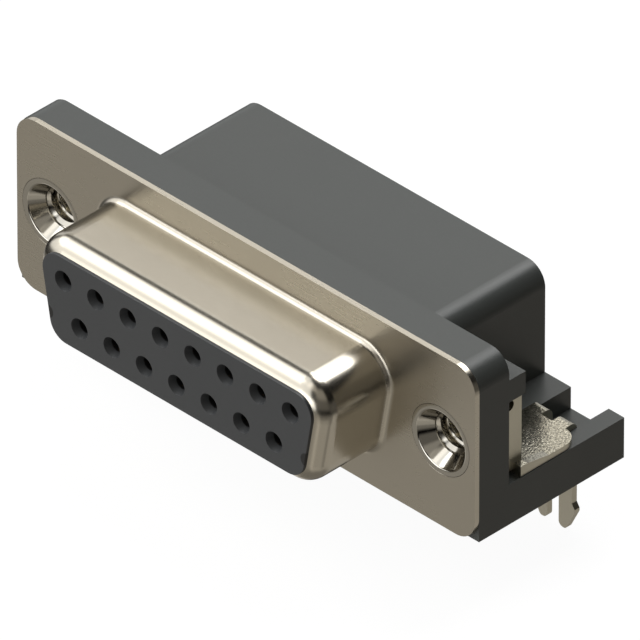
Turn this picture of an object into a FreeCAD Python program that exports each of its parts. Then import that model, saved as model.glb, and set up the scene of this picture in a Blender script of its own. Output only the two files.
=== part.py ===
import FreeCAD, Part
import math
import os

from FreeCAD import Vector as V

os.makedirs("parts", exist_ok=True)

# ---------------------------------------------------------------------------
# Fifteen-way socket d-sub connector, right-angle board type, size DA.
# Millimetres.  +X right seen from the mating face, +Z up from the board,
# -Y is the mating direction.  The origin is the middle between the two
# board locks, on the face that stands on the board.
# Depths below are measured back from the front face of the steel flange
# and turned into Y by depth().
# ---------------------------------------------------------------------------

LOCK_LINE = 9.88            # flange front face to the line of the board locks
ROW_HALF = 1.42             # contact rows above and below the shell centre
PITCH = 2.77                # contact pitch in a row
SHELL_Z = 6.25              # shell centre above the board
BACK = 12.79                # common back plane of hood, shelf and arms

# steel shell
FLANGE_W = 39.14
FLANGE_H = 12.5
FLANGE_T = 0.37
FLANGE_R = 1.6
D_EXTREME = 24.66           # outside width over the rounded corners
D_H = 7.90                  # outside height
D_SLOPE = 10.0              # slope of the D sides, degrees
D_R = 2.22
D_WALL = 0.40
D_W = D_EXTREME + 2 * D_R * (math.tan(math.radians(D_SLOPE))
                             + 1 / math.cos(math.radians(D_SLOPE)) - 1)
D_RIM_R = 1.30              # rounding of the turned-in rim
D_MOUTH = 0.845             # the rim ends this far inside the outline
D_EDGE = -5.555             # depth of the rim's edge
D_RIM = D_EDGE + math.sqrt(D_RIM_R ** 2 - (D_RIM_R - D_MOUTH) ** 2) - D_RIM_R
FACE = -5.79                # front face of the insulator
D_ROOT_R = 0.43             # fillet to the flange

# jackscrew inserts
INSERT_X = 16.66
INSERT_RIM_R = 2.45         # spun-over front edge
INSERT_BODY_R = 2.20
INSERT_NECK_R = 1.50        # through the web of the bracket
INSERT_COLLAR_R = 1.74      # spun-over end behind the web
INSERT_BORE_R = 1.13        # 4-40 UNC tapping bore
INSERT_MOUTH_R = 2.08
INSERT_STEP_R = 1.36        # plain start of the bore under the countersink
INSERT_END = 4.20

# plastic housing
PLATE_BACK = 2.905
PLATE_R = 1.5
WALL_BACK = 4.30
HOOD_X = 12.85
HOOD_Z = 10.65
HOOD_R = 1.45
HOOD_WALL = 1.25
SHELF_Z = 2.95
CHANNEL_X0 = 15.065
CHANNEL_X1 = 18.26
CHANNEL_Z = 1.37
CHANNEL_Y0 = 8.80
SLOT_TOP = 9.03             # underside of the overhang above the bracket

# board lock bracket, sheet metal
SHEET = 0.43
LEG_HALF_GAP = 0.485
LEG_W = 1.11
LEG_FRONT = LOCK_LINE - SHEET / 2
LEG_BACK = LOCK_LINE + SHEET / 2
LEG_TIP = -4.63
BRACKET_X1 = 19.50
BRACKET_EDGE = 9.05         # back edge of the wide part of the bracket
POST_X = 18.90              # outer face of the upright side flange
POST_BACK = 4.65

# contacts
TAIL_W = 0.60
TAIL_T = 0.40
TAIL_TIP = -3.20
BEND_R = 0.55


def depth(d):
    return d - LOCK_LINE


def box(x0, x1, d0, d1, z0, z1):
    return Part.makeBox(x1 - x0, d1 - d0, z1 - z0, V(x0, depth(d0), z0))


def cyl(x, z, r, d0, d1):
    """round bar along the mating direction"""
    return Part.makeCylinder(r, d1 - d0, V(x, depth(d0), z), V(0, 1, 0))


def cone(x, z, r0, r1, d0, d1):
    return Part.makeCone(r0, r1, d1 - d0, V(x, depth(d0), z), V(0, 1, 0))


def round_wire(points, radii):
    """closed wire through the points (3-D vectors in one plane), each
    corner rounded by its radius"""
    n = len(points)
    starts, ends, mids = [], [], []
    for i in range(n):
        p, a, b = points[i], points[i - 1], points[(i + 1) % n]
        r = radii[i]
        if r <= 0:
            starts.append(p)
            ends.append(p)
            mids.append(None)
            continue
        u = (a - p)
        u.normalize()
        w = (b - p)
        w.normalize()
        ang = math.acos(max(-1.0, min(1.0, u.dot(w))))
        t = r / math.tan(ang / 2)
        bis = (u + w)
        bis.normalize()
        c = p + bis * (r / math.sin(ang / 2))
        starts.append(p + u * t)
        ends.append(p + w * t)
        mids.append(c - bis * r)
    edges = []
    for i in range(n):
        if mids[i] is not None:
            edges.append(Part.Arc(starts[i], mids[i], ends[i]).toShape())
        a, b = ends[i], starts[(i + 1) % n]
        if (b - a).Length > 1e-6:
            edges.append(Part.makeLine(a, b))
    return Part.Wire(edges)


def d_prism(inset, d0, d1):
    """D-shaped prism, its outline set in from the outside of the shell"""
    s = math.radians(D_SLOPE)
    h = D_H / 2
    top, bot = h - inset, -h + inset

    def half(z):
        edge = D_W / 2 - (h - z) * math.tan(s)
        return edge - inset / math.cos(s)

    y = depth(d0)
    pts = [V(-half(top), y, SHELL_Z + top), V(half(top), y, SHELL_Z + top),
           V(half(bot), y, SHELL_Z + bot), V(-half(bot), y, SHELL_Z + bot)]
    r = max(D_R - inset, 0.3)
    face = Part.Face(round_wire(pts, [r] * 4))
    return face.extrude(V(0, d1 - d0, 0))


def edges_at(shape, d, kinds=None, test=None):
    """edges that lie wholly in the plane at depth d"""
    y = depth(d)
    found = []
    for e in shape.Edges:
        bb = e.BoundBox
        if abs(bb.YMin - y) < 1e-4 and abs(bb.YMax - y) < 1e-4:
            if test is None or test(e):
                found.append(e)
    return found


def plate_xz(x0, x1, z0, z1, radii, d0, d1):
    y = depth(d0)
    pts = [V(x0, y, z1), V(x1, y, z1), V(x1, y, z0), V(x0, y, z0)]
    return Part.Face(round_wire(pts, radii)).extrude(V(0, d1 - d0, 0))


def mirror_x(shape):
    return shape.mirror(V(0, 0, 0), V(1, 0, 0))


def contact_places():
    """number, x, z: 1 to 8 in the upper row and 9 to 15 in the lower one,
    counted from the right seen from the mating face"""
    places = []
    for i in range(8):
        places.append((i + 1, (3.5 - i) * PITCH, SHELL_Z + ROW_HALF))
    for i in range(7):
        places.append((i + 9, (3 - i) * PITCH, SHELL_Z - ROW_HALF))
    return places


# ---------------------------------------------------------------------------
# steel shell
# ---------------------------------------------------------------------------

def make_shell():
    flange = plate_xz(-FLANGE_W / 2, FLANGE_W / 2, 0, FLANGE_H,
                      [FLANGE_R] * 4, 0, FLANGE_T)
    tube = d_prism(0, D_RIM, 0)
    tube = tube.makeFillet(D_RIM_R, edges_at(tube, D_RIM))
    body = flange.fuse(tube).removeSplitter()
    root = edges_at(body, 0, test=lambda e: e.BoundBox.XMax < D_W / 2 + 0.01
                    and e.BoundBox.XMin > -D_W / 2 - 0.01
                    and abs(e.BoundBox.ZMin - SHELL_Z) < 4.2)
    body = body.makeFillet(D_ROOT_R, root)
    inner = d_prism(D_WALL, D_RIM + D_WALL, FLANGE_T + 1)
    inner = inner.makeFillet(D_RIM_R - D_WALL,
                             edges_at(inner, D_RIM + D_WALL))
    body = body.cut(inner)
    body = body.cut(d_prism(D_MOUTH, D_RIM - 1, 0))
    # the drawn edge behind the flange is rounded
    back = edges_at(body, FLANGE_T,
                    test=lambda e: abs(e.BoundBox.XMax) < D_W / 2
                    and abs(e.BoundBox.XMin) < D_W / 2
                    and e.BoundBox.ZMin > 1.5 and e.BoundBox.ZMax < 11.0)
    body = body.makeFillet(0.28, back)
    for sx in (-1, 1):
        body = body.cut(cone(sx * INSERT_X, SHELL_Z, INSERT_RIM_R,
                             INSERT_BODY_R, 0, FLANGE_T))
    return body


# ---------------------------------------------------------------------------
# insulators
# ---------------------------------------------------------------------------

COLLAR_W = 26.4
COLLAR_H = 9.3
REAR_X = 11.50
REAR_Z = 3.05


def make_front_insulator():
    body = d_prism(D_WALL + 0.04, D_RIM + D_WALL + 0.05, FLANGE_T)
    body = body.makeFillet(0.95, edges_at(body, D_RIM + D_WALL + 0.05))
    nose = d_prism(D_MOUTH, FACE, D_RIM + 1.5)
    nose = nose.makeFillet(0.03, edges_at(nose, FACE))
    collar = plate_xz(-COLLAR_W / 2, COLLAR_W / 2, SHELL_Z - COLLAR_H / 2,
                      SHELL_Z + COLLAR_H / 2, [1.2] * 4, FLANGE_T, 2.90)
    # room for the rounded drawn edge of the shell
    body = body.fuse(nose).fuse(collar).removeSplitter()
    for n, x, z in contact_places():
        body = body.cut(cone(x, z, 0.71, 0.50, FACE, FACE + 0.50))
        body = body.cut(cyl(x, z, 0.50, FACE + 0.4, -4.60))
        body = body.cut(cyl(x, z, 1.02, -4.60, 2.90))
    return body


def make_rear_insulator():
    body = plate_xz(-REAR_X, REAR_X, SHELL_Z - REAR_Z, SHELL_Z + REAR_Z,
                    [0.5] * 4, 2.90, 5.20)
    body = body.makeChamfer(0.3, edges_at(body, 5.20))
    for n, x, z in contact_places():
        body = body.cut(box(x - TAIL_W / 2 - 0.03, x + TAIL_W / 2 + 0.03,
                            2.5, 5.6, z - TAIL_T / 2 - 0.03,
                            z + TAIL_T / 2 + 0.03))
    return body


def make_tail_guide():
    body = box(-HOOD_X + HOOD_WALL + 0.05, HOOD_X - HOOD_WALL - 0.05,
               6.90, 12.00, 0.0, 1.10)
    for n, x, z in contact_places():
        d = LOCK_LINE + (ROW_HALF if n <= 8 else -ROW_HALF)
        body = body.cut(box(x - TAIL_W / 2 - 0.04, x + TAIL_W / 2 + 0.04,
                            d - TAIL_T / 2 - 0.04, d + TAIL_T / 2 + 0.04,
                            -1, 2))
        # lead-in for the tails on the upper side
        low = Part.makePlane(TAIL_W + 0.50, TAIL_T + 0.50,
                             V(x - TAIL_W / 2 - 0.25,
                               depth(d) - TAIL_T / 2 - 0.25, 1.101))
        up = Part.makePlane(TAIL_W + 0.08, TAIL_T + 0.08,
                            V(x - TAIL_W / 2 - 0.04,
                              depth(d) - TAIL_T / 2 - 0.04, 0.80))
        funnel = Part.makeLoft([low.OuterWire, up.OuterWire], True)
        body = body.cut(funnel)
    return body


# ---------------------------------------------------------------------------
# board lock bracket, right side
# ---------------------------------------------------------------------------

WEB_FRONT = PLATE_BACK
BR_X0 = INSERT_X - LEG_HALF_GAP - LEG_W
BR_BEND = 0.57              # outer radius where the legs turn down


def leg_profile(sign):
    """outline of one leg seen along the mating direction; sign +1 is the
    outer (right) leg, -1 the inner one"""
    c = INSERT_X
    s = sign

    def p(dx, z):
        return V(c + s * dx, depth(LEG_FRONT), z)

    inner = LEG_HALF_GAP
    outer = LEG_HALF_GAP + LEG_W
    top = SHELF_Z + SHEET - BR_BEND
    pts = [p(inner, top), p(outer, top), p(outer, -2.52),
           p(outer + 0.24, -2.89), p(outer + 0.24, -3.12),
           p(inner + 0.60, LEG_TIP), p(inner, LEG_TIP)]
    rad = [0, 0, 0, 0.04, 0.18, 0.25, 0.36]
    return Part.Face(round_wire(pts, rad)).extrude(V(0, SHEET, 0))


def make_board_lock():
    z0, z1 = SHELF_Z, SHELF_Z + SHEET
    x0 = BR_X0
    # horizontal plate with its rounded outer corner
    y0 = depth(4.0)
    ye = depth(BRACKET_EDGE)
    xa = INSERT_X + LEG_HALF_GAP + LEG_W
    pts = [V(x0, y0, z0), V(BRACKET_X1, y0, z0), V(BRACKET_X1, ye, z0),
           V(x0, ye, z0)]
    plate = Part.Face(round_wire(pts, [0, 0, 1.2, 0])).extrude(V(0, 0, SHEET))
    # part below the web, ahead of the side ear
    plate = plate.fuse(box(x0, POST_X, WEB_FRONT + 0.73, 4.05, z0, z1))
    # two tongues and their bends
    turn = LEG_BACK - BR_BEND
    for s in (-1, 1):
        a = INSERT_X + s * LEG_HALF_GAP
        b = INSERT_X + s * (LEG_HALF_GAP + LEG_W)
        lo, hi = min(a, b), max(a, b)
        plate = plate.fuse(box(lo, hi, BRACKET_EDGE - 0.5, turn, z0, z1))
        ring = Part.makeCylinder(BR_BEND, hi - lo,
                                 V(lo, depth(turn), z1 - BR_BEND),
                                 V(1, 0, 0))
        ring = ring.cut(Part.makeCylinder(BR_BEND - SHEET, hi - lo,
                                          V(lo, depth(turn), z1 - BR_BEND),
                                          V(1, 0, 0)))
        ring = ring.common(box(lo, hi, turn, turn + 1, z1 - BR_BEND, z1))
        plate = plate.fuse(ring).fuse(leg_profile(s))
    # bend up to the web behind the front plate
    ri = 0.30
    ro = ri + SHEET
    cy = depth(WEB_FRONT + ro)
    cz = z0 + ro
    ring = Part.makeCylinder(ro, POST_X - x0, V(x0, cy, cz), V(1, 0, 0))
    ring = ring.cut(Part.makeCylinder(ri, POST_X - x0, V(x0, cy, cz),
                                      V(1, 0, 0)))
    ring = ring.common(box(x0, POST_X, WEB_FRONT, WEB_FRONT + ro, z0, cz))
    web = plate_xz(x0, POST_X, cz, SLOT_TOP - 0.08, [0.5, 0, 0, 0],
                   WEB_FRONT, WEB_FRONT + SHEET)
    web = web.cut(cyl(INSERT_X, SHELL_Z, INSERT_NECK_R, WEB_FRONT - 1,
                      WEB_FRONT + 2))
    # upright side flange
    side = box(POST_X - SHEET, POST_X, WEB_FRONT, POST_BACK, z0, SLOT_TOP - 0.08)
    relief = Part.makeCylinder(0.38, 1.0, V(POST_X - 0.7, depth(3.60), 8.08),
                               V(1, 0, 0))
    side = side.cut(relief)
    # the outer ear rises a little towards its front end
    ear = [V(POST_X, depth(4.0), z0), V(POST_X, depth(4.0), z1 + 0.30),
           V(POST_X, depth(4.6), z1 + 0.30), V(POST_X, depth(6.4), z1),
           V(POST_X, depth(6.4), z0)]
    ear = Part.Face(Part.makePolygon(ear + ear[:1])).extrude(
        V(BRACKET_X1 - POST_X, 0, 0))
    body = plate.fuse(ring).fuse(web).fuse(side).fuse(ear)
    # the side flange stops short of the shelf
    body = body.cut(box(POST_X - 0.45, POST_X + 0.01, WEB_FRONT - 0.01, 3.99,
                        z0 - 0.01, 3.26))
    return body.removeSplitter()


# ---------------------------------------------------------------------------
# housing
# ---------------------------------------------------------------------------

def make_housing():
    w = FLANGE_W / 2
    body = plate_xz(-w, w, 0, FLANGE_H - 0.01, [PLATE_R, PLATE_R, 0, 0],
                    FLANGE_T, PLATE_BACK)
    body = body.fuse(plate_xz(-w, w, 0, HOOD_Z, [0, 0, 0, 0],
                              PLATE_BACK - 0.01, WALL_BACK))
    body = body.fuse(box(-w, w, WALL_BACK - 0.01, BACK, 0, SHELF_Z))
    hood = plate_xz(-HOOD_X, HOOD_X, 0, HOOD_Z, [HOOD_R, HOOD_R, 0, 0],
                    WALL_BACK - 0.01, BACK)
    body = body.fuse(hood).removeSplitter()
    # cavity of the hood, open below
    cav = plate_xz(-HOOD_X + HOOD_WALL, HOOD_X - HOOD_WALL, -1,
                   HOOD_Z - HOOD_WALL, [0.6, 0.6, 0, 0], WALL_BACK, BACK - 0.79)
    body = body.cut(cav)
    # solid floor ahead of the tail guide
    body = body.fuse(box(-HOOD_X + HOOD_WALL - 0.2, HOOD_X - HOOD_WALL + 0.2,
                         WALL_BACK - 0.5, 6.85, 0, 1.50))
    # window for the insulators
    body = body.cut(plate_xz(-COLLAR_W / 2, COLLAR_W / 2,
                             SHELL_Z - COLLAR_H / 2, SHELL_Z + COLLAR_H / 2,
                             [1.2] * 4, FLANGE_T - 0.5, PLATE_BACK - 0.005))
    body = body.cut(plate_xz(-REAR_X - 0.03, REAR_X + 0.03,
                             SHELL_Z - REAR_Z - 0.03, SHELL_Z + REAR_Z + 0.03,
                             [0.5] * 4, PLATE_BACK - 0.5, WALL_BACK + 0.5))
    for sx in (-1, 1):
        side = []
        # room for the web of the bracket and for the collar of the insert
        side.append(box(BR_X0 - 0.08, w + 1, PLATE_BACK, PLATE_BACK + SHEET,
                        SHELF_Z, SLOT_TOP))
        side.append(box(BR_X0 - 0.08, w + 1, PLATE_BACK, WALL_BACK + 0.2,
                        SHELF_Z, SHELF_Z + SHEET + 0.35))
        side.append(cyl(INSERT_X, SHELL_Z, INSERT_COLLAR_R + 0.25,
                        PLATE_BACK, WALL_BACK + 1))
        side.append(box(POST_X - SHEET - 0.12, w + 1, PLATE_BACK,
                        WALL_BACK + 1, SHELF_Z, SLOT_TOP))
        side.append(cyl(INSERT_X, SHELL_Z, INSERT_BODY_R, 0,
                        PLATE_BACK + 0.01))
        # channel for the fork, open to the back
        side.append(box(CHANNEL_X0, CHANNEL_X1, CHANNEL_Y0, BACK + 1,
                        CHANNEL_Z, SHELF_Z + 1))
        side.append(box(CHANNEL_X0, CHANNEL_X1, LEG_FRONT - 0.15,
                        LEG_BACK + 0.15, -1, CHANNEL_Z + 1))
        for s in side:
            body = body.cut(s if sx > 0 else mirror_x(s))
    return body.removeSplitter()


# ---------------------------------------------------------------------------
# inserts
# ---------------------------------------------------------------------------

def make_insert():
    x, z = INSERT_X, SHELL_Z
    body = cyl(x, z, INSERT_BODY_R, FLANGE_T, PLATE_BACK)
    body = body.fuse(cyl(x, z, INSERT_NECK_R, PLATE_BACK - 0.1,
                         PLATE_BACK + SHEET))
    body = body.fuse(cone(x, z, INSERT_RIM_R, INSERT_BODY_R, 0, FLANGE_T))
    collar = cyl(x, z, INSERT_COLLAR_R, PLATE_BACK + SHEET, INSERT_END)
    collar = collar.makeChamfer(0.18, edges_at(collar, INSERT_END))
    body = body.fuse(collar)
    body = body.cut(cone(x, z, INSERT_MOUTH_R, INSERT_STEP_R, 0, 0.95))
    body = body.cut(cyl(x, z, INSERT_STEP_R, 0.85, 1.25))
    body = body.cut(cone(x, z, INSERT_STEP_R, INSERT_BORE_R, 1.25, 1.45))
    body = body.cut(cyl(x, z, INSERT_BORE_R, 0.5, INSERT_END + 1))
    body = body.cut(cone(x, z, INSERT_BORE_R, INSERT_BORE_R + 0.3,
                         INSERT_END - 0.3, INSERT_END))
    return body.removeSplitter()


# ---------------------------------------------------------------------------
# contacts: slit socket, flat stem, bend, tail
# ---------------------------------------------------------------------------

def make_contact(n, x, z):
    tail_d = LOCK_LINE + (ROW_HALF if n <= 8 else -ROW_HALF)
    socket = cyl(x, z, 0.86, -4.45, 2.88)
    socket = socket.cut(cyl(x, z, 0.53, -5.0, 1.20))
    socket = socket.cut(cone(x, z, 0.74, 0.53, -4.45, -4.05))
    # slit between the two spring tines
    socket = socket.cut(box(x - 0.11, x + 0.11, -5.0, 0.20, z - 1.2, z + 1.2))
    t = TAIL_T / 2
    ri, ro = BEND_R - t, BEND_R + t
    bend_d = tail_d - BEND_R
    bend_z = z - BEND_R
    stem = box(x - TAIL_W / 2, x + TAIL_W / 2, 2.5, bend_d, z - t, z + t)
    ring = Part.makeCylinder(ro, TAIL_W, V(x - TAIL_W / 2, depth(bend_d),
                                           bend_z), V(1, 0, 0))
    ring = ring.cut(Part.makeCylinder(ri, TAIL_W,
                                      V(x - TAIL_W / 2, depth(bend_d),
                                        bend_z), V(1, 0, 0)))
    ring = ring.common(box(x - 2, x + 2, bend_d, bend_d + 3, bend_z,
                           bend_z + 3))
    tail = box(x - TAIL_W / 2, x + TAIL_W / 2, tail_d - t, tail_d + t,
               TAIL_TIP, bend_z)
    low = [e for e in tail.Edges if abs(e.BoundBox.ZMin - TAIL_TIP) < 1e-4
           and abs(e.BoundBox.ZMax - TAIL_TIP) < 1e-4]
    tail = tail.makeChamfer(0.13, low)
    return socket.fuse(stem).fuse(ring).fuse(tail).removeSplitter()


def save(name, shape):
    if shape.ShapeType == "Compound" and len(shape.Solids) == 1:
        shape = shape.Solids[0]
    print(name, shape.ShapeType, "solids", len(shape.Solids), "valid",
          shape.isValid(), "volume %.3f" % shape.Volume)
    shape.exportStep("parts/%s.step" % name)
    return shape


if os.path.isdir("parts"):
    for old in os.listdir("parts"):
        if old.endswith(".step"):
            os.remove(os.path.join("parts", old))

save("shell", make_shell())
save("front_insulator", make_front_insulator())
save("rear_insulator", make_rear_insulator())
save("housing", make_housing())
save("tail_guide", make_tail_guide())
lock = make_board_lock()
save("board_lock_right", lock)
save("board_lock_left", mirror_x(lock))
insert = make_insert()
save("threaded_insert_right", insert)
save("threaded_insert_left", mirror_x(insert))
for number, cx, cz in contact_places():
    save("contact_%02d" % number, make_contact(number, cx, cz))
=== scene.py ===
import math

import bmesh
import bpy
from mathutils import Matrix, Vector


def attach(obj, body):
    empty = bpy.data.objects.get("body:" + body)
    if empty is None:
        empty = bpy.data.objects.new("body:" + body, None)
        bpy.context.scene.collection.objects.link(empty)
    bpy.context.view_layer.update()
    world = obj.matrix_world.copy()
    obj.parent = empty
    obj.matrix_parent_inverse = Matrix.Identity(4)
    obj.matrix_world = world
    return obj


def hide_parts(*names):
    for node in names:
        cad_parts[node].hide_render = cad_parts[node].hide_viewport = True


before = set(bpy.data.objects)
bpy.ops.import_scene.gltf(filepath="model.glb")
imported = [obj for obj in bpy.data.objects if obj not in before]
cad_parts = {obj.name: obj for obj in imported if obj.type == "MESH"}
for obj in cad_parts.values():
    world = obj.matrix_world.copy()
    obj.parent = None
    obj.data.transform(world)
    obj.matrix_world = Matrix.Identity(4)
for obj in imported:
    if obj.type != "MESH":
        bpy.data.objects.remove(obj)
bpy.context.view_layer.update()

scene = bpy.context.scene
MM = 0.001

# Right-angle board-mount socket connector.  Metres, +X right seen from the
# mating face, -Y out of the mating face, +Z up from the board.
LOCK_LINE = 9.88            # mm from the flange front face to the origin
SHELL_Z = 6.25
INSERT_X = 16.66
PITCH = 2.77
ROW_HALF = 1.42


def at(x, d, z):
    """point from X, depth behind the flange front and Z, all in mm"""
    return Vector((x * MM, (d - LOCK_LINE) * MM, z * MM))


# ---------------------------------------------------------------------------
# node helpers
# ---------------------------------------------------------------------------

class Nodes:
    def __init__(self, name):
        self.mat = bpy.data.materials.new(name)
        self.mat.use_nodes = True
        self.t = self.mat.node_tree
        self.bsdf = next(n for n in self.t.nodes
                         if n.type == "BSDF_PRINCIPLED")
        self.coord = self.t.nodes.new("ShaderNodeTexCoord")
        self.obj = self.coord.outputs["Object"]

    def node(self, kind, **props):
        n = self.t.nodes.new(kind)
        for k, v in props.items():
            setattr(n, k, v)
        return n

    def link(self, a, b):
        self.t.links.new(a, b)

    def mapped(self, scale=(1, 1, 1), rot=(0, 0, 0), loc=(0, 0, 0)):
        m = self.node("ShaderNodeMapping")
        m.inputs["Scale"].default_value = scale
        m.inputs["Rotation"].default_value = rot
        m.inputs["Location"].default_value = loc
        self.link(self.obj, m.inputs["Vector"])
        return m.outputs["Vector"]

    def noise(self, scale, detail=2.0, rough=0.5, vec=None, distort=0.0):
        n = self.node("ShaderNodeTexNoise")
        n.inputs["Scale"].default_value = scale
        n.inputs["Detail"].default_value = detail
        n.inputs["Roughness"].default_value = rough
        n.inputs["Distortion"].default_value = distort
        self.link(vec if vec is not None else self.obj, n.inputs["Vector"])
        return n.outputs["Fac"]

    def voronoi(self, scale, feature="F1", vec=None, out="Distance"):
        n = self.node("ShaderNodeTexVoronoi", feature=feature)
        n.inputs["Scale"].default_value = scale
        self.link(vec if vec is not None else self.obj, n.inputs["Vector"])
        return n.outputs[out]

    def span(self, value, lo, hi, a=0.0, b=1.0, smooth=False):
        n = self.node("ShaderNodeMapRange")
        if smooth:
            n.interpolation_type = "SMOOTHSTEP"
        n.inputs["From Min"].default_value = lo
        n.inputs["From Max"].default_value = hi
        n.inputs["To Min"].default_value = a
        n.inputs["To Max"].default_value = b
        self.link(value, n.inputs["Value"])
        return n.outputs["Result"]

    def math(self, op, a, b=None, clamp=False):
        n = self.node("ShaderNodeMath", operation=op)
        n.use_clamp = clamp
        for i, v in enumerate((a, b)):
            if v is None:
                continue
            if isinstance(v, (int, float)):
                n.inputs[i].default_value = v
            else:
                self.link(v, n.inputs[i])
        return n.outputs[0]

    def mix(self, fac, a, b, mode="MIX"):
        n = self.node("ShaderNodeMix", data_type="RGBA", blend_type=mode)
        if isinstance(fac, (int, float)):
            n.inputs["Factor"].default_value = fac
        else:
            self.link(fac, n.inputs["Factor"])
        for sock, v in ((6, a), (7, b)):
            if isinstance(v, (tuple, list)):
                n.inputs[sock].default_value = (*v, 1.0)
            else:
                self.link(v, n.inputs[sock])
        return n.outputs[2]

    def split(self, vec=None):
        n = self.node("ShaderNodeSeparateXYZ")
        self.link(vec if vec is not None else self.obj, n.inputs[0])
        return n.outputs

    def bump(self, height, strength, distance, after=None):
        n = self.node("ShaderNodeBump")
        n.inputs["Distance"].default_value = distance
        if isinstance(strength, (int, float)):
            n.inputs["Strength"].default_value = strength
        else:
            self.link(strength, n.inputs["Strength"])
        self.link(height, n.inputs["Height"])
        if after is not None:
            self.link(after, n.inputs["Normal"])
        return n.outputs["Normal"]

    def set(self, **v):
        names = {"color": "Base Color", "rough": "Roughness",
                 "metal": "Metallic", "normal": "Normal", "ior": "IOR",
                 "spec": "Specular IOR Level", "aniso": "Anisotropic"}
        for k, val in v.items():
            s = self.bsdf.inputs[names[k]]
            if isinstance(val, (int, float)):
                s.default_value = val
            elif isinstance(val, (tuple, list)):
                s.default_value = (*val, 1.0)
            else:
                self.link(val, s)
        return self.mat


# ---------------------------------------------------------------------------
# materials
# ---------------------------------------------------------------------------

def plated_steel():
    """satin plating: very fine rolled grain, a little cloudiness"""
    m = Nodes("plated_steel")
    broad = m.noise(140.0, 3.0, 0.55)
    fine = m.noise(9000.0, 3.0, 0.6)
    along = m.noise(1.0, 2.0, 0.5, m.mapped(scale=(900.0, 9000.0, 9000.0)))
    col = m.mix(m.span(broad, 0.35, 0.65), (0.670, 0.623, 0.529),
                (0.645, 0.600, 0.509))
    col = m.mix(m.span(fine, 0.40, 0.75, 0.0, 0.14), col,
                (0.55, 0.51, 0.43))
    # the drawn tube is burnished, the flange is as the sheet was rolled
    x, y, z = m.split()
    rolled = m.span(y, -0.01035, -0.00995, 0.0, 0.06, smooth=True)
    rough = m.math("ADD", m.span(broad, 0.3, 0.7, 0.210, 0.235),
                   m.span(along, 0.3, 0.7, -0.012, 0.016))
    rough = m.math("ADD", rough, rolled)
    n = m.bump(fine, 0.05, 0.000010)
    n = m.bump(along, 0.05, 0.000008, n)
    return m.set(color=col, metal=1.0, rough=rough, normal=n)


def polished_nickel():
    m = Nodes("polished_nickel")
    # faint turned rings round the axis of each insert
    x, y, z = m.split()
    side = m.math("ABSOLUTE", x)
    dx = m.math("SUBTRACT", side, INSERT_X * MM)
    dz = m.math("SUBTRACT", z, SHELL_Z * MM)
    r = m.math("SQRT", m.math("ADD", m.math("MULTIPLY", dx, dx),
                              m.math("MULTIPLY", dz, dz)))
    rings = m.node("ShaderNodeTexNoise")
    rings.noise_dimensions = "1D"
    rings.inputs["Scale"].default_value = 1.0
    rings.inputs["Detail"].default_value = 2.0
    m.link(m.math("MULTIPLY", m.math("ADD", r, m.math("MULTIPLY", y, 0.7)),
                  26000.0), rings.inputs["W"])
    ring = rings.outputs["Fac"]
    broad = m.noise(420.0, 2.0, 0.5)
    col = m.mix(m.span(broad, 0.35, 0.65), (0.680, 0.650, 0.580),
                (0.650, 0.620, 0.550))
    rough = m.math("ADD", m.span(broad, 0.3, 0.7, 0.10, 0.13),
                   m.span(ring, 0.35, 0.65, -0.015, 0.02))
    n = m.bump(ring, 0.08, 0.000003)
    return m.set(color=col, metal=1.0, rough=rough, normal=n)


def entry_shade_masks(m):
    """distance from the nearest contact axis, as two masks for painted shade:
    the bore of each entry and the countersink in front of it"""
    x, y, z = m.split()
    up = m.math("SUBTRACT", z, SHELL_Z * MM)
    upper = m.math("GREATER_THAN", up, 0.0)
    # the row of eight stands at odd halves of the pitch, the row of seven
    # at whole ones
    turn = m.math("ADD", m.math("DIVIDE", x, PITCH * MM),
                  m.math("ADD", m.math("MULTIPLY", upper, -0.5), 0.5))
    dx = m.math("MULTIPLY", m.math("SUBTRACT", m.math("FRACT", turn), 0.5),
                PITCH * MM)
    dz = m.math("SUBTRACT", m.math("ABSOLUTE", up), ROW_HALF * MM)
    r = m.math("SQRT", m.math("ADD", m.math("MULTIPLY", dx, dx),
                              m.math("MULTIPLY", dz, dz)))
    front = m.span(y, -0.0144, -0.0146)
    bore = m.math("MULTIPLY", m.span(r, 0.000507, 0.000501), front)
    sink = m.math("MULTIPLY", m.span(y, -0.01566, -0.01563),
                  m.math("MULTIPLY", m.span(r, 0.00073, 0.00072), front))
    return bore, sink


def moulded_plastic(name, base, dark, rough0, rough1, grain=0.16,
                    scale=7000.0, spec=0.5, painted_entry_shade=False):
    m = Nodes(name)
    broad = m.noise(90.0, 3.0, 0.6, distort=0.4)
    fine = m.noise(scale, 4.0, 0.62)
    cells = m.voronoi(scale * 0.55)
    col = m.mix(m.span(broad, 0.32, 0.68), base, dark)
    col = m.mix(m.span(fine, 0.42, 0.78, 0.0, 0.30), col,
                tuple(min(1.0, c * 1.25) for c in base))
    if painted_entry_shade:
        # painted shade: the bores are painted near black for the shade inside
        # them, the countersinks a little darker for the shade in them
        bore, sink = entry_shade_masks(m)
        col = m.mix(sink, col, tuple(c * 0.95 for c in base))
        col = m.mix(bore, col, (0.014, 0.014, 0.014))
    rough = m.math("ADD", m.span(broad, 0.3, 0.7, rough0, rough1),
                   m.span(fine, 0.3, 0.7, -0.03, 0.04))
    n = m.bump(fine, grain, 0.00002)
    n = m.bump(m.span(cells, 0.0, 0.6), grain * 0.5, 0.000015, n)
    return m.set(color=col, metal=0.0, rough=rough, normal=n, spec=spec)


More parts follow.
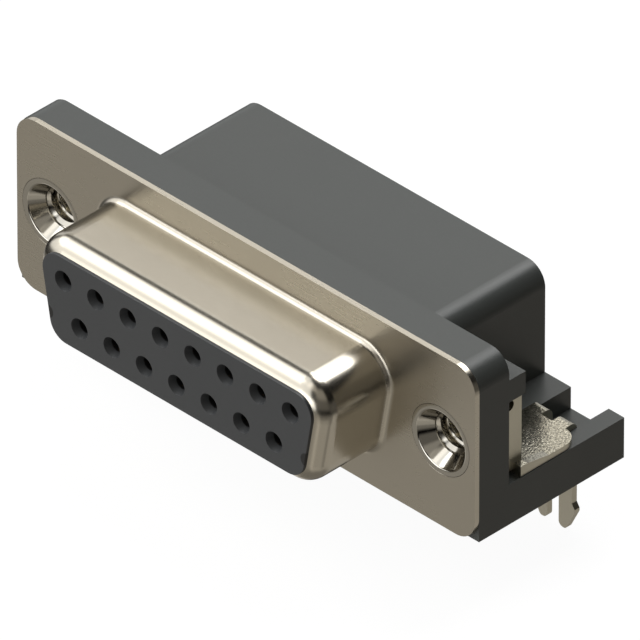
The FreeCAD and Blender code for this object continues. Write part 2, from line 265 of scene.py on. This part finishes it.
def bracket_metal():
    """tinned sheet: the rolled upper side is pebbled, the edges and the
    upright faces are smooth"""
    m = Nodes("bracket_metal")
    geo = m.node("ShaderNodeNewGeometry")
    nx, ny, nz = m.split(geo.outputs["True Normal"])
    px, py, pz = m.split()
    top = m.math("MULTIPLY", m.span(nz, 0.90, 0.97),
                 m.span(pz, 0.0030, 0.0032))
    grain = m.noise(8200.0, 2.0, 0.60)
    spots = m.voronoi(7800.0)
    fine = m.noise(14000.0, 2.0, 0.5)
    broad = m.noise(260.0, 3.0, 0.5)
    col = m.mix(m.span(broad, 0.35, 0.65), (0.690, 0.655, 0.545),
                (0.655, 0.620, 0.515))
    pebble_and_painted_shade = m.mix(m.span(grain, 0.38, 0.62), (0.42, 0.40, 0.335),
                   (0.97, 0.925, 0.77))
    # painted shade: the raised front end of the ear, where its top tilts, is
    # painted dark in place of the dark reflection it shows
    flat = m.span(nz, 0.986, 0.996, 0.45, 1.0)
    pebble_and_painted_shade = m.mix(m.math("SUBTRACT", 1.0, flat), pebble_and_painted_shade,
                   (0.10, 0.095, 0.08))
    col = m.mix(top, col, pebble_and_painted_shade)
    rough = m.math("ADD", m.span(broad, 0.3, 0.7, 0.35, 0.39),
                   m.span(fine, 0.3, 0.7, -0.02, 0.03))
    rough = m.math("SUBTRACT", rough, m.math("MULTIPLY", top, 0.23))
    n = m.bump(fine, 0.05, 0.000008)
    height = m.math("ADD", m.span(grain, 0.30, 0.70),
                    m.span(spots, 0.0, 0.5, 0.0, 0.6))
    n = m.bump(height, top, 0.0000035, n)
    return m.set(color=col, metal=1.0, rough=rough, normal=n)


def contact_metal():
    """gilt socket end, tinned stem and tail"""
    m = Nodes("contact_metal")
    x, y, z = m.split()
    wob = m.noise(1500.0, 2.0, 0.5)
    edge = m.math("ADD", y, m.span(wob, 0.3, 0.7, -0.00012, 0.00012))
    tin = m.span(edge, -0.0074, -0.0070, smooth=True)
    broad = m.noise(900.0, 3.0, 0.5)
    gold = m.mix(m.span(broad, 0.35, 0.65), (0.95, 0.71, 0.33),
                 (0.87, 0.63, 0.28))
    grey = m.mix(m.span(broad, 0.35, 0.65), (0.76, 0.74, 0.69),
                 (0.68, 0.66, 0.61))
    rough = m.math("ADD", m.span(tin, 0.0, 1.0, 0.18, 0.30),
                   m.span(broad, 0.3, 0.7, -0.03, 0.04))
    n = m.bump(m.noise(9000.0, 2.0, 0.5), 0.08, 0.00001)
    return m.set(color=m.mix(tin, gold, grey), metal=1.0, rough=rough,
                 normal=n)


steel = plated_steel()
nickel = polished_nickel()
housing_black = moulded_plastic("housing_black", (0.085, 0.092, 0.088),
                                (0.080, 0.087, 0.083), 0.34, 0.39,
                                grain=0.08)
# the insulator's contact entries carry painted shade in their bores and
# countersinks
insulator_black = moulded_plastic("insulator_black", (0.061, 0.064, 0.067),
                                  (0.057, 0.060, 0.063), 0.40, 0.45,
                                  grain=0.08, scale=8200.0, painted_entry_shade=True)
bracket = bracket_metal()
contact = contact_metal()


def give(node, mat):
    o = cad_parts[node]
    o.data.materials.clear()
    o.data.materials.append(mat)


give("shell", steel)
give("front_insulator", insulator_black)
give("rear_insulator", insulator_black)
give("tail_guide", insulator_black)
give("housing", housing_black)
for side in ("right", "left"):
    give("board_lock_" + side, bracket)
for i in range(1, 16):
    give("contact_%02d" % i, contact)


def crisp(node, degrees):
    """keeps the shallow edge between each countersink and its bore sharp"""
    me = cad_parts[node].data
    me.normals_split_custom_set([(0.0, 0.0, 0.0)] * len(me.loops))
    me.shade_smooth()
    me.set_sharp_from_angle(angle=math.radians(degrees))


crisp("front_insulator", 12.0)


# ---------------------------------------------------------------------------
# threaded inserts with a real 4-40 thread
# ---------------------------------------------------------------------------

def mesh_piece(name, bm, mat, replaces=(), smooth_deg=32.0):
    me = bpy.data.meshes.new(name)
    bm.to_mesh(me)
    bm.free()
    o = bpy.data.objects.new(name, me)
    scene.collection.objects.link(o)
    me.materials.append(mat)
    me.shade_smooth()
    me.set_sharp_from_angle(angle=math.radians(smooth_deg))
    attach(o, "root")
    if replaces:
        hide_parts(*replaces)
    return o


TURNS = 128


def ring(bm, cx, prof, first=None):
    """one revolved strip after another through the (radius, depth) points;
    returns the first and the last loop of vertices"""
    loops = []
    for r, d in prof:
        loops.append([bm.verts.new(at(cx + r * math.cos(a), d,
                                      SHELL_Z + r * math.sin(a)))
                      for a in (2 * math.pi * k / TURNS
                                for k in range(TURNS))])
    for a, b in zip(loops, loops[1:]):
        for k in range(TURNS):
            j = (k + 1) % TURNS
            bm.faces.new((a[k], a[j], b[j], b[k]))
    return loops[0], loops[-1]


def thread_radius(phase, minor, major):
    """60 degree thread, crest at phase 0, flats of an eighth and a quarter"""
    f = abs(phase - round(phase)) * 2          # 0 at the crest, 1 at the root
    crest, root = 0.25, 0.875
    if f <= crest:
        return minor
    if f >= root:
        return major
    return minor + (major - minor) * (f - crest) / (root - crest)


def make_insert(name, node, sx, turn):
    pitch, minor, major = 0.635, 1.13, 1.4225
    d0, d1 = 0.99, 4.20
    mouth = 1.36
    bm = bmesh.new()
    cx = sx * INSERT_X
    # outside, from the bore end round the back, the body and the front rim,
    # then the rolled lip, the countersink and the plain start of the bore
    out = [(1.43, 4.20), (1.56, 4.20), (1.66, 4.16), (1.72, 4.08),
           (1.74, 4.00), (1.74, 3.335), (1.50, 3.335), (1.50, 2.905),
           (2.20, 2.905), (2.20, 0.37), (2.418, 0.0), (2.13, 0.0),
           (2.088, 0.008), (2.048, 0.030), (2.010, 0.066), (1.975, 0.116),
           (1.945, 0.165), (1.402, 0.895), (1.375, 0.925), (mouth, 0.960),
           (mouth, d0)]
    back, front = ring(bm, cx, out)
    # thread: rows follow the helix, clamped to the ends of the bore
    marks = [0.0, 0.125, 0.20, 0.28, 0.36, 0.4375, 0.50, 0.5625, 0.64,
             0.72, 0.80, 0.875]
    turns = int((d1 - d0) / pitch) + 3
    offs = [(t + m) * pitch for t in range(turns) for m in marks]

    def radius(d, ang):
        if d <= d0 + 1e-9:
            return mouth
        ph = (d - turn) / pitch - ang / (2 * math.pi)
        r = thread_radius(ph, minor, major)
        lead = mouth - (d - d0) * 1.2
        tail = 1.43 - (d1 - d) * 1.2
        return min(max(r, lead, tail), max(mouth + (d - d0) * 3.0, lead))

    rows = []
    for off in offs:
        row = []
        for k in range(TURNS):
            a = 2 * math.pi * k / TURNS
            d = d0 - pitch + off + pitch * k / TURNS
            d = min(max(d, d0), d1)
            r = radius(d, a)
            row.append(bm.verts.new(at(cx + r * math.cos(a), d,
                                       SHELL_Z + r * math.sin(a))))
        rows.append(row)
    for i in range(len(rows) - 1):
        a, b = rows[i], rows[i + 1]
        for k in range(TURNS - 1):
            bm.faces.new((a[k], a[k + 1], b[k + 1], b[k]))
    # the seam joins each row's end to the start of the row one turn on
    step = len(marks)
    for i in range(len(rows) - 1):
        for (p, q) in ((i, i + 1),):
            ip, iq = p + step, q + step
            if iq < len(rows):
                bm.faces.new((rows[p][-1], rows[ip][0], rows[iq][0],
                              rows[q][-1]))
    bmesh.ops.remove_doubles(bm, verts=bm.verts, dist=2e-7)
    loose = [v for v in bm.verts if not v.link_faces]
    if loose:
        bmesh.ops.delete(bm, geom=loose, context="VERTS")
    bmesh.ops.dissolve_degenerate(bm, edges=bm.edges, dist=1e-7)
    bmesh.ops.recalc_face_normals(bm, faces=bm.faces)
    return mesh_piece(name, bm, nickel, (node,), 30.0)


make_insert("insert_right", "threaded_insert_right", 1, 0.32)
make_insert("insert_left", "threaded_insert_left", -1, 0.32)


# ---------------------------------------------------------------------------
# floor, light, camera
# ---------------------------------------------------------------------------

def camera_ray_mix(tree, seen, other, target):
    lp = tree.nodes.new("ShaderNodeLightPath")
    mx = tree.nodes.new("ShaderNodeMixShader")
    tree.links.new(lp.outputs["Is Camera Ray"], mx.inputs[0])
    tree.links.new(other, mx.inputs[1])
    tree.links.new(seen, mx.inputs[2])
    tree.links.new(mx.outputs[0], target)


def make_floor(z):
    """pale floor; it takes a faint shadow and lights nothing, the studio
    round the part does that"""
    s = 3.0
    me = bpy.data.meshes.new("studio_floor")
    me.from_pydata([(-s, -s, z), (s, -s, z), (s, s, z), (-s, s, z)], [],
                   [(0, 1, 2, 3)])
    o = bpy.data.objects.new("studio_floor", me)
    scene.collection.objects.link(o)
    mat = bpy.data.materials.new("studio_floor")
    mat.use_nodes = True
    t = mat.node_tree
    t.nodes.remove(next(n for n in t.nodes if n.type == "BSDF_PRINCIPLED"))
    out = next(n for n in t.nodes if n.type == "OUTPUT_MATERIAL")
    white = t.nodes.new("ShaderNodeEmission")
    white.inputs["Color"].default_value = (1, 1, 1, 1)
    white.inputs["Strength"].default_value = 0.95
    lit = t.nodes.new("ShaderNodeBsdfDiffuse")
    lit.inputs["Color"].default_value = (0.10, 0.10, 0.10, 1)
    add = t.nodes.new("ShaderNodeAddShader")
    t.links.new(white.outputs[0], add.inputs[0])
    t.links.new(lit.outputs[0], add.inputs[1])
    t.links.new(add.outputs[0], out.inputs[0])
    me.materials.append(mat)
    o.visible_diffuse = False
    o.visible_glossy = False
    o.visible_transmission = False
    o.visible_volume_scatter = False
    o.visible_shadow = False
    return o


make_floor(-4.65 * MM)

# The studio: soft panels all round the part, each given by the direction of
# its middle (azimuth from +X towards +Y, elevation), its half width in
# azimuth and half height, the softness of its edge (all degrees) and its
# radiance.
PANELS = {
    "back_left_high": (108, 60, 32, 15, 10, 4.93),
    "back_left_low": (140, 12, 24, 14, 10, 0.82),
    "back_left_mid": (135, 34, 19, 8, 8, 0.57),
    "key_upper": (-162, 40, 28, 14, 6, 1.50),
    "key_lower": (-132, 18, 19, 14, 6, 0.12),
    "front_low": (-100, 0, 24, 12, 8, 1.78),
    "front_high": (-90, 60, 28, 14, 12, 0.39),
    "front_right_high": (-35, 45, 28, 18, 12, 0.28),
    "front_right": (-40, 10, 32, 16, 12, 0.12),
    "right_low": (25, 0, 30, 14, 10, 0.09),
    "under_left": (175, -45, 34, 16, 12, 0.54),
    "under_front": (-110, -38, 46, 18, 14, 0.28),
    "under_right": (-28, -44, 42, 22, 14, 0.18),
    "under_back": (60, -40, 50, 18, 14, 0.38),
    "under": (0, -80, 360, 24, 12, 0.19),
}
# Brighter panels that the part mirrors once; what two of its surfaces mirror
# between them stays at the level of the panels above.
GLINTS = {
    "key": (-135, 35, 47, 40, 8, 1.12),
    "rim": (117, 55, 17, 9, 6, 0.30),
    "rim_low": (-45, -48, 36, 11, 8, 0.17),
}


def tone(radiance):
    """lamps are white, the dim walls between them a little warm"""
    warm = 1.0 - min(1.0, max(0.0, (radiance - 0.45) / 0.35))
    return tuple(radiance * (1.0 - warm * (1.0 - c))
                 for c in (1.0, 0.945, 0.85))


def studio(panels, glints=()):
    world = bpy.data.worlds.new("studio")
    scene.world = world
    world.use_nodes = True
    t = world.node_tree
    for n in list(t.nodes):
        t.nodes.remove(n)

    def calc(op, *values):
        n = t.nodes.new("ShaderNodeMath")
        n.operation = op
        for i, v in enumerate(values):
            if isinstance(v, (int, float)):
                n.inputs[i].default_value = v
            else:
                t.links.new(v, n.inputs[i])
        return n.outputs[0]

    def vec(op, *values):
        n = t.nodes.new("ShaderNodeVectorMath")
        n.operation = op
        for i, v in enumerate(values):
            if isinstance(v, (tuple, list)):
                n.inputs[i].default_value = v
            else:
                t.links.new(v, n.inputs["Scale"] if op == "SCALE" and i
                            else n.inputs[i])
        return n.outputs["Value" if op == "DOT_PRODUCT" else "Vector"]

    def step(value, lo, hi):
        n = t.nodes.new("ShaderNodeMapRange")
        n.data_type = "FLOAT_VECTOR"
        n.interpolation_type = "SMOOTHSTEP"
        for i in n.inputs:
            if i.identifier == "From_Min_FLOAT3":
                i.default_value = lo
            elif i.identifier == "From_Max_FLOAT3":
                i.default_value = hi
        t.links.new(value, n.inputs["Vector"])
        return n.outputs["Vector"]

    def triple(x):
        n = t.nodes.new("ShaderNodeCombineXYZ")
        for i in range(3):
            t.links.new(x, n.inputs[i])
        return n.outputs[0]

    ray = t.nodes.new("ShaderNodeTexCoord").outputs["Generated"]
    flat = vec("NORMALIZE", vec("MULTIPLY", ray, (1, 1, 0)))
    parts = t.nodes.new("ShaderNodeSeparateXYZ")
    t.links.new(flat, parts.inputs[0])
    fx, fy = triple(parts.outputs[0]), triple(parts.outputs[1])
    rise = t.nodes.new("ShaderNodeSeparateXYZ")
    t.links.new(ray, rise.inputs[0])
    el = triple(calc("ARCSINE", rise.outputs[2]))

    def lit_by(group):
        """three panels at a time, as one vector"""
        rows = list(group) + [(0, 0, 1, 1, 1, 0.0)] * (3 - len(group))
        az0, el0, hw, hh, soft = ([math.radians(r[i]) for r in rows]
                                  for i in range(5))
        turn = vec("MULTIPLY_ADD", fx, [math.cos(a) for a in az0],
                   vec("MULTIPLY", fy, [math.sin(a) for a in az0]))
        lo, hi = [], []
        for h, f in zip(hw, soft):
            if h > math.pi:
                lo.append(-3.0)
                hi.append(-2.0)
            else:
                lo.append(math.cos(min(math.pi, h + f / 2)))
                hi.append(math.cos(max(0.0, h - f / 2)))
        across = step(turn, lo, hi)
        tall = vec("ABSOLUTE", vec("SUBTRACT", el, el0))
        up = step(tall, [h + f / 2 for h, f in zip(hh, soft)],
                  [h - f / 2 for h, f in zip(hh, soft)])
        k = vec("MULTIPLY", across, up)
        n = t.nodes.new("ShaderNodeCombineXYZ")
        for c in range(3):
            row = [r[5][c] if isinstance(r[5], tuple) else tone(r[5])[c]
                   for r in rows]
            t.links.new(vec("DOT_PRODUCT", k, row), n.inputs[c])
        return n.outputs[0]

    def total(panels):
        panels = list(panels)
        out = None
        for i in range(0, len(panels), 3):
            c = lit_by(panels[i:i + 3])
            out = c if out is None else vec("ADD", out, c)
        return out

    path = t.nodes.new("ShaderNodeLightPath")
    light = total(panels) if panels else None
    if glints:
        once = calc("LESS_THAN", path.outputs["Ray Depth"], 2.5)
        bright = vec("SCALE", total(glints), once)
        light = bright if light is None else vec("ADD", light, bright)
    lit = t.nodes.new("ShaderNodeBackground")
    t.links.new(light, lit.inputs["Color"])
    seen = t.nodes.new("ShaderNodeBackground")
    seen.inputs["Color"].default_value = (1, 1, 1, 1)
    seen.inputs["Strength"].default_value = 1.05
    out = t.nodes.new("ShaderNodeOutputWorld")
    camera_ray_mix(t, seen.outputs[0], lit.outputs[0], out.inputs["Surface"])
    return seen


studio(PANELS.values(), GLINTS.values())

# the photograph is an isometric view, 38.72 mm across
LENS = 1600.0
WIDTH = 38.60
back = Vector((1, -1, 1)).normalized()
target = Vector((3.052, -6.492, 6.586)) * MM
cam_data = bpy.data.cameras.new("camera")
cam_data.type = "PERSP"
cam_data.sensor_width = 36.0
cam_data.lens = LENS
cam_data.clip_start = 0.05
cam_data.clip_end = 12.0
cam = bpy.data.objects.new("camera", cam_data)
cam.rotation_mode = "QUATERNION"
cam.location = target + back * (WIDTH * MM * LENS / 36.0)
cam.rotation_quaternion = (-back).to_track_quat("-Z", "Y")
scene.collection.objects.link(cam)
scene.camera = cam

scene.view_settings.view_transform = "Standard"
scene.view_settings.look = "None"
scene.view_settings.exposure = 0.0
scene.view_settings.gamma = 1.0
